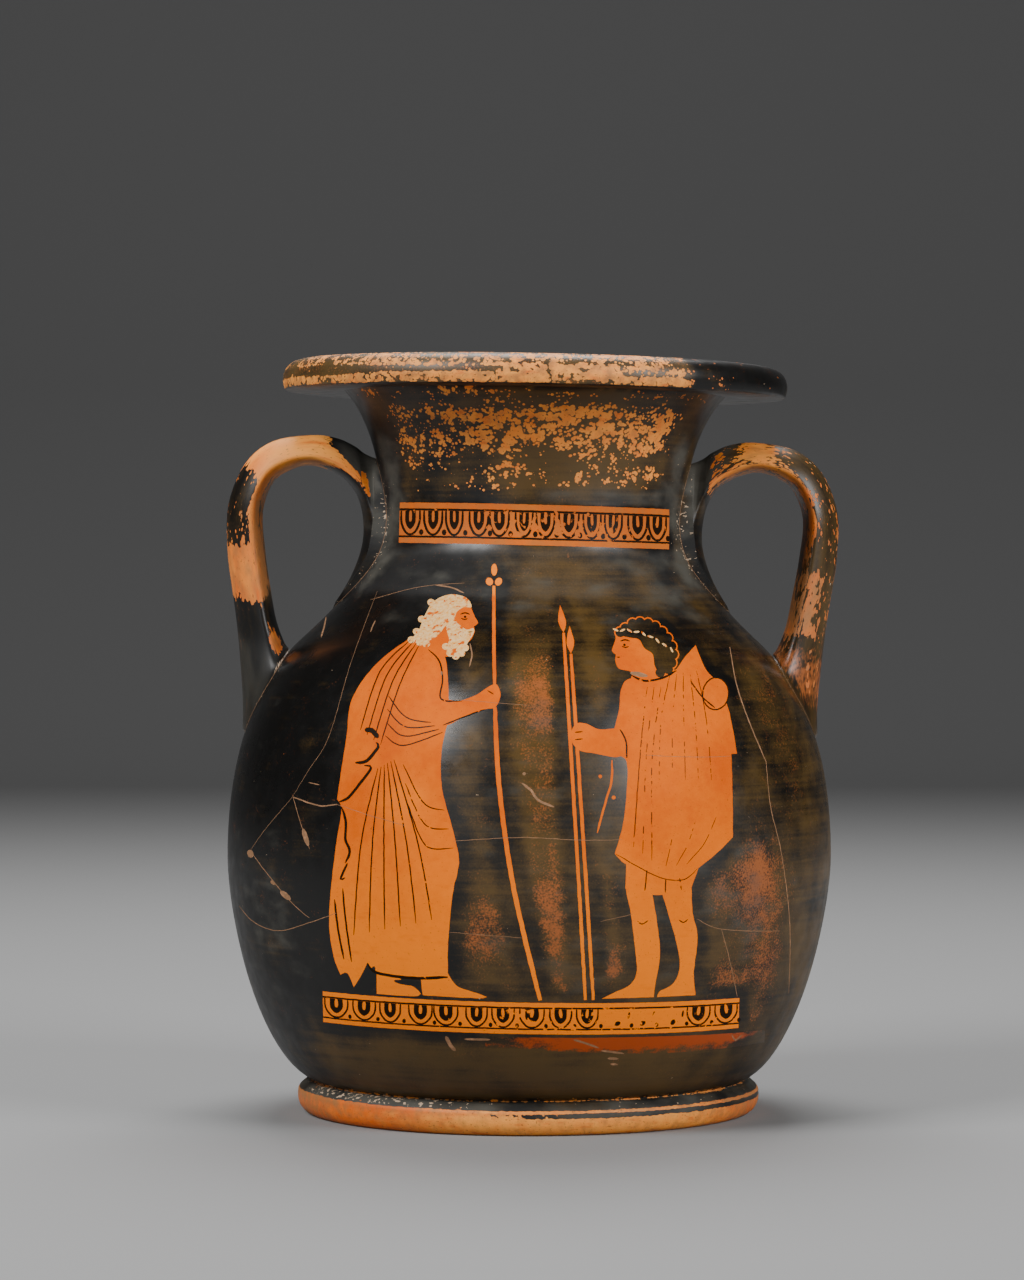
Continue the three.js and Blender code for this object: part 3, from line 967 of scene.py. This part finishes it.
def turned_finish(place):
    """The finish of a place on the foot, the lip or the inside: bare clay below and within."""
    outside = radius_at(max(place.z, ROOT.y))
    within = place.z < BARE_BELOW and math.hypot(place.x, place.y) < outside - WALL / 2
    return CLAY if within and not on_foot(place) else SLIP


def drawn_on(unroll, marks):
    return [([hand_drawn(unroll(place)) for place in outline], finish) for outline, finish in marks]


def all_marks(handles):
    """Every mark of the sheet, later ones over earlier ones, with the handles' roots cut out."""
    front_marks = filled(RED, RED_STRIP) + elder() + traveller()
    front_marks += front_bands() + damage_marks()
    back_marks = bystander(-42, 1) + bystander(42, -1) + back_bands()
    marks = drawn_on(back, back_marks) + drawn_on(front, front_marks)
    for rings in handles.values():
        for ring in (rings[0], rings[-1]):
            root = anticlockwise([unrolled(place) for place in ring])
            marks += [(widened(root, DIRT_LINE), FILL), (root, CUT)]
    return marks


def jar_mesh():
    bm = bmesh.new()
    bm.faces.layers.int.new("zone")
    bm.verts.layers.float_vector.new("straight")
    for name in FIELDS:
        bm.verts.layers.float.new(name)
    handles = {side: handle_rings(side) for side in (1, -1)}
    for side, rings in handles.items():
        add_handle(bm, side, rings)
    add_foot(bm)
    add_lip_and_inside(bm)
    add_wall(bm, all_marks(handles))
    bmesh.ops.remove_doubles(bm, verts=bm.verts, dist=WELD)
    bmesh.ops.dissolve_degenerate(bm, edges=bm.edges, dist=WELD)
    bmesh.ops.recalc_face_normals(bm, faces=bm.faces)
    finish_faces(bm)
    normals = wall_normals(bm)
    for corner in bm.verts:
        corner.co = settled(corner.co) * METRES
    mesh = bpy.data.meshes.new("pelike_painted")
    bm.to_mesh(mesh)
    bm.free()
    mesh.normals_split_custom_set(normals)
    return mesh


def finish_faces(bm):
    zone = bm.faces.layers.int["zone"]
    for face in bm.faces:
        face.smooth = True
        if face[zone] == TURNED:
            face.material_index = turned_finish(face.calc_center_median())
    for edge in bm.edges:
        if len(edge.link_faces) == 2 and edge.calc_face_angle() > math.radians(SHARP_DEG):
            edge.smooth = False


def wall_normal(place):
    """The settled wall's own normal at an upright place on it, from spots a millimetre to each side."""
    spot = unrolled(place)
    aside = Vector((1, 0))
    low = Vector((spot.x, max(spot.y - 1, 0)))
    high = Vector((spot.x, min(spot.y + 1, ARCS[-1])))
    across = settled(rolled(spot + aside)) - settled(rolled(spot - aside))
    up = settled(rolled(high)) - settled(rolled(low))
    return across.cross(up).normalized()


def wall_normals(bm):
    """Normals for all corners of faces: true ones on the wall's uneven triangles. Others keep their own."""
    zone = bm.faces.layers.int["zone"]
    found = {}
    normals = []
    for face in bm.faces:
        for corner in face.verts:
            if face[zone] != PAINTED:
                normals.append((0, 0, 0))
                continue
            if corner not in found:
                found[corner] = wall_normal(corner.co)
            normals.append(found[corner])
    return normals


# Materials

def colour(red, green, blue):
    return (red, green, blue, 1)


BLACK = colour(0.0045, 0.0042, 0.0038)
OLIVE = colour(0.082, 0.046, 0.012)
RUST = colour(0.3, 0.085, 0.02)
RUB_AND_SHEEN_GREY = colour(0.066, 0.062, 0.05)
RED_SLIP = colour(0.34, 0.047, 0.0005)
DEEP_ORANGE = colour(0.64, 0.095, 0)
ORANGE = colour(0.78, 0.142, 0)
PALE_ORANGE = colour(1, 0.23, 0.002)
BUFF = colour(0.9, 0.34, 0.052)
BROWN_SPECK = colour(0.2, 0.06, 0.018)
LINE_BROWN = colour(0.016, 0.009, 0.005)
CREAM = colour(0.82, 0.54, 0.25)
YELLOWED = colour(0.78, 0.36, 0.075)
SOILED = colour(0.35, 0.137, 0.04)
PLASTER = colour(0.46, 0.235, 0.125)
CHALK = colour(0.5, 0.36, 0.24)
EARTH = colour(0.24, 0.13, 0.07)
CLAY_SHINE = 0.03
SLIP_SHINE = 0.4


class Finish:
    """A material put together from nodes by short calls."""

    def __init__(self, name, places=None):
        """The finish's grain goes by the object's own places, or by those kept under a name."""
        self.material = bpy.data.materials.new(name)
        self.material.use_nodes = True
        self.tree = self.material.node_tree
        self.shader = self.tree.nodes["Principled BSDF"]
        if places:
            self.places = self.node("Attribute", attribute_name=places).outputs["Vector"]
        else:
            self.places = self.node("TexCoord").outputs["Object"]

    def feed(self, socket, value):
        """Links a socket to another node's output, or sets its value."""
        if isinstance(value, bpy.types.NodeSocket):
            self.tree.links.new(value, socket)
        else:
            socket.default_value = value

    def node(self, kind, inputs=None, **settings):
        made = self.tree.nodes.new("ShaderNode" + kind)
        for name, value in settings.items():
            setattr(made, name, value)
        for name, value in (inputs or {}).items():
            self.feed(made.inputs[name], value)
        return made

    def field(self, name):
        return self.node("Attribute", attribute_name=name).outputs["Fac"]

    def spread(self, flat, seed):
        """Places drawn out level a number of times, and moved by a seed."""
        inputs = {"Vector": self.places, "Scale": (1 / flat, 1 / flat, 1), "Location": (seed, seed, seed)}
        return self.node("Mapping", inputs).outputs[0]

    def grain(self, size, flat=1, detail=3, seed=0):
        """Noise of about -0.5 to 0.5, its features a size in millimetres."""
        inputs = {"Vector": self.spread(flat, seed), "Scale": 1 / (size * METRES), "Detail": detail}
        whole = self.node("TexNoise", inputs).outputs["Fac"]
        return self.node("Math", {0: whole, 1: 0.5}, operation="SUBTRACT").outputs[0]

    def dots(self, size, flat=1, seed=0):
        """Round cells of a size in millimetres, from 0.5 at their middles to less than none."""
        inputs = {"Vector": self.spread(flat, seed), "Scale": 1 / (size * METRES)}
        distance = self.node("TexVoronoi", inputs).outputs["Distance"]
        return self.node("Math", {0: 0.5, 1: distance}, operation="SUBTRACT").outputs[0]

    def sum(self, *shares):
        """A sum of pairs of a value and its share."""
        total = 0.0
        for value, share in shares:
            inputs = {0: value, 1: share, 2: total}
            total = self.node("Math", inputs, operation="MULTIPLY_ADD").outputs[0]
        return total

    def over(self, value, low, high):
        """None below low, all above high, eased between."""
        inputs = {"Value": value, "From Min": low, "From Max": high}
        return self.node("MapRange", inputs, interpolation_type="SMOOTHSTEP").outputs["Result"]

    def mix(self, share, first, second):
        return self.node("Mix", {0: share, 6: first, 7: second}, data_type="RGBA").outputs[2]

    def blend(self, share, first, second):
        return self.node("Mix", {0: share, 2: first, 3: second}).outputs[0]

    def set(self, base, roughness, height, depth, shine):
        """The shader's colour, roughness, relief with a depth in millimetres, and share of reflection."""
        self.shader.inputs["Specular IOR Level"].default_value = shine
        bump = self.node("Bump", {"Height": height, "Strength": 1.0, "Distance": depth * METRES})
        self.feed(self.shader.inputs["Base Color"], base)
        self.feed(self.shader.inputs["Roughness"], roughness)
        self.feed(self.shader.inputs["Normal"], bump.outputs[0])
        return self.material


def slip_colour(finish):
    """Fired slip: black to olive brown in brush marks, stippled red where misfired, grey from rubbing and
    painted sheen.
    """
    cloud = finish.grain(18, detail=7)
    brush = finish.grain(1.7, flat=30, detail=3, seed=4)
    stipple = finish.grain(0.8, detail=2, seed=2)
    brown = finish.sum((finish.field("brown"), 1), (cloud, 1.3), (brush, 0.6), (stipple, 0.4))
    made = finish.mix(finish.over(brown, 0.05, 0.95), BLACK, OLIVE)
    patch = finish.grain(8, detail=4, seed=18)
    red = finish.sum((finish.field("misfire"), 0.8), (patch, 0.8), (stipple, 1.2))
    made = finish.mix(finish.over(red, 0.22, 0.72), made, RUST)
    rub_and_sheen_share = finish.sum((finish.field("rub_and_sheen"), 0.75), (finish.grain(9, flat=2, detail=7, seed=6), 1.4))
    return finish.mix(finish.over(rub_and_sheen_share, 0.15, 0.9), made, RUB_AND_SHEEN_GREY)


def clay_colour(finish, pale=PALE_ORANGE, mottle=0.3):
    """Fired clay: orange where it was reserved and polished, paler in parts, and soiled."""
    cloud = finish.sum((finish.grain(30, detail=4, seed=1), 1), (finish.grain(3, detail=3, seed=19), 0.35))
    made = finish.mix(finish.over(cloud, -0.2, 0.2), DEEP_ORANGE, ORANGE)
    paler = finish.sum((finish.field("pale_and_lit"), 1.15), (finish.grain(5, detail=5, seed=5), mottle))
    made = finish.mix(finish.over(paler, 0.1, 1), made, pale)
    streaks = finish.over(finish.grain(2.5, flat=3, detail=5, seed=23), 0.02, 0.3)
    made = finish.mix(finish.blend(streaks, 0.0, mottle), made, DEEP_ORANGE)
    soiled = finish.sum((finish.field("soil"), 1), (finish.grain(4, detail=6, seed=21), 2.2 * mottle))
    made = finish.mix(finish.over(soiled, 0.1, 1.1), made, SOILED)
    specks = finish.over(finish.grain(0.9, detail=2, seed=8), 0.18 - 0.07 * mottle, 0.26 - 0.07 * mottle)
    return finish.mix(finish.blend(specks, 0.0, 0.3 + 0.4 * mottle), made, BROWN_SPECK)


def flaked(finish, scale):
    """Where the slip is off: round flakes that run together, and specks, finer where the clay is pale."""
    finer = finish.field("pale_and_lit")
    blotch = finish.grain(8, flat=2.2, detail=3, seed=3)
    flake = finish.dots(3.4 * scale, flat=1.25, seed=0.3)
    speck = finish.dots(1.5 * scale, flat=1.15, seed=0.7)
    shares = (
        (blotch, finish.blend(finer, 1.0, 0.6)),
        (flake, finish.blend(finer, 0.6, 0.25)),
        (speck, finish.blend(finer, 0.3, 0.6)),
    )
    return finish.over(finish.sum((finish.field("wear"), 1), *shares), 0.5, 0.53)


def slip_finish(name="slip", places=None, flakes=1):
    finish = Finish(name, places)
    bare = flaked(finish, flakes)
    crust = finish.sum((finish.grain(1.1, flat=2, detail=3, seed=11), 1), (finish.field("crust"), 0.13))
    pits = finish.over(crust, 0.265, 0.285)
    base = finish.mix(bare, slip_colour(finish), clay_colour(finish, BUFF, 0.8))
    base = finish.mix(pits, base, CHALK)
    dulled = (finish.field("rub_and_sheen"), 0.4), (finish.field("pale_and_lit"), 0.3)
    gloss = finish.sum(*dulled, (finish.grain(7, detail=4, seed=12), 0.25), (0.24, 1))
    roughness = finish.blend(bare, gloss, 0.58)
    wheel = finish.grain(1.2, flat=40, detail=2, seed=13)
    coated = finish.sum((wheel, 0.12), (0.8, 1))
    lost = finish.sum((finish.grain(0.7), 0.8), (0.3, 1))
    return finish.set(base, roughness, finish.blend(bare, coated, lost), 0.12, SLIP_SHINE)


def clay_finish():
    finish = Finish("clay")
    roughness = finish.sum((finish.grain(6, detail=3), 0.25), (0.52, 1))
    return finish.set(clay_colour(finish), roughness, finish.grain(0.8, detail=3), 0.05, CLAY_SHINE)


def line_finish():
    finish = Finish("line")
    worn = (finish.field("brown"), 0.4), (finish.field("wear"), 1)
    lost = finish.sum(*worn, (finish.grain(2.6, detail=3, seed=14), 1))
    lost = finish.over(lost, 0.26, 0.32)
    base = finish.mix(lost, LINE_BROWN, clay_colour(finish))
    return finish.set(base, finish.blend(lost, 0.32, 0.55), finish.blend(lost, 1.0, 0.2), 0.04, CLAY_SHINE)


def white_finish():
    finish = Finish("white")
    lost = finish.over(finish.grain(2.4, detail=3, seed=15), 0.06, 0.14)
    shade = finish.mix(finish.over(finish.grain(1.2, detail=2), -0.2, 0.25), CREAM, YELLOWED)
    base = finish.mix(lost, shade, clay_colour(finish))
    return finish.set(base, finish.blend(lost, 0.75, 0.55), finish.blend(lost, 1.0, 0.0), 0.15, CLAY_SHINE)


def fill_finish():
    finish = Finish("fill")
    shade = finish.over(finish.grain(2.5, detail=3, seed=16), -0.05, 0.32)
    return finish.set(finish.mix(shade, EARTH, PLASTER), 0.7, finish.grain(0.6, detail=2), 0.1, CLAY_SHINE)


def red_finish():
    """The strip of red slip: fuller from left to right, and fading at its end and its lower edge."""
    finish = Finish("red")
    where = finish.node("SeparateXYZ", {"Vector": finish.places}).outputs
    fuller = finish.over(where["X"], -30 * METRES, 30 * METRES)
    ended = finish.over(where["X"], 84 * METRES, 108 * METRES)
    low = finish.over(where["Z"], 41.5 * METRES, 37.5 * METRES)
    grain = finish.grain(2.2, flat=2.5, detail=3, seed=17)
    stipple = finish.grain(0.8, detail=2, seed=2)
    red = finish.sum((fuller, 0.7), (ended, -0.7), (low, -0.5), (grain, 1), (stipple, 0.5))
    base = finish.mix(finish.over(red, 0.1, 0.55), slip_colour(finish), RED_SLIP)
    roughness = finish.sum((finish.grain(7), 0.25), (0.33, 1))
    return finish.set(base, roughness, finish.grain(1.2, flat=40), 0.02, SLIP_SHINE)


def strap_finish():
    """The handles: worn slip with its marks drawn out along them."""
    return slip_finish("strap", "straight", 0.55)


def make_jar():
    """The one piece, with its finishes in the order of their numbers."""
    jar = bpy.data.objects.new("pelike_painted", jar_mesh())
    bpy.context.collection.objects.link(jar)
    for make in (slip_finish, clay_finish, line_finish, white_finish, fill_finish, red_finish, strap_finish):
        jar.data.materials.append(make())
    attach(jar, "root")
    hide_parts("pelike")


# Floor, light and camera

CAMERA = Vector((-0.00745, -2.01, 0.24))
CAMERA_PITCH_DEG = 0.73
LENS = 123.75
SENSOR = 36
FLOOR_GREY = colour(0.24, 0.24, 0.24)
FLOOR_REACH = 8
SWEEP_START = 3.2  # where the floor begins to curve up behind
SWEEP_RADIUS = 1.6
JAR_MIDDLE = (0, 0, 0.18)
WORLD_GREY = colour(0.5, 0.5, 0.51)
WORLD_STRENGTH = 0.085
LIGHTS = (  # name, place, size and power
    ("left", (-1.5, -1.25, 1.7), 1.0, 69),
    ("right", (1.75, -1.35, 1.1), 1.0, 58),
    ("top", (0, 0.85, 2.1), 1.2, 60),
    ("sheen", (-0.95, -2.0, 0.4), 0.5, 2),
)


def make_camera():
    data = bpy.data.cameras.new("camera")
    data.sensor_width = SENSOR
    data.lens = LENS
    camera = bpy.data.objects.new("camera", data)
    camera.location = CAMERA
    camera.rotation_euler = (math.radians(90 - CAMERA_PITCH_DEG), 0, 0)
    bpy.context.collection.objects.link(camera)
    bpy.context.scene.camera = camera


def make_floor():
    bm = bmesh.new()
    start = bm.verts.new((-FLOOR_REACH, -FLOOR_REACH, 0))
    bend = bm.verts.new((-FLOOR_REACH, SWEEP_START, 0))
    bm.edges.new((start, bend))
    bmesh.ops.spin(
        bm, geom=[bend], cent=(0, SWEEP_START, SWEEP_RADIUS), axis=(1, 0, 0), angle=math.radians(90), steps=24
    )
    rim = max(bm.verts, key=lambda corner: corner.co.z)
    top = bmesh.ops.extrude_vert_indiv(bm, verts=[rim])["verts"]
    bmesh.ops.translate(bm, verts=top, vec=(0, 0, FLOOR_REACH))
    wide = bmesh.ops.extrude_edge_only(bm, edges=bm.edges[:])["geom"]
    moved = [corner for corner in wide if isinstance(corner, bmesh.types.BMVert)]
    bmesh.ops.translate(bm, verts=moved, vec=(2 * FLOOR_REACH, 0, 0))
    bmesh.ops.recalc_face_normals(bm, faces=bm.faces)
    for face in bm.faces:
        face.smooth = True
    mesh = bpy.data.meshes.new("floor")
    bm.to_mesh(mesh)
    bm.free()
    floor = bpy.data.objects.new("floor", mesh)
    finish = Finish("floor")
    finish.set(FLOOR_GREY, 0.85, finish.grain(2, detail=2), 0.01, CLAY_SHINE)
    mesh.materials.append(finish.material)
    bpy.context.collection.objects.link(floor)


def make_light(name, place, size, power):
    data = bpy.data.lights.new(name, "AREA")
    data.size = size
    data.energy = power
    light = bpy.data.objects.new(name, data)
    light.location = place
    light.rotation_euler = (Vector(JAR_MIDDLE) - Vector(place)).to_track_quat("-Z", "Y").to_euler()
    bpy.context.collection.objects.link(light)


def make_lights():
    for light in LIGHTS:
        make_light(*light)
    world = bpy.data.worlds.new("studio")
    world.use_nodes = True
    background = world.node_tree.nodes["Background"]
    background.inputs["Color"].default_value = WORLD_GREY
    background.inputs["Strength"].default_value = WORLD_STRENGTH
    bpy.context.scene.world = world


make_camera()
make_floor()
make_lights()
make_jar()
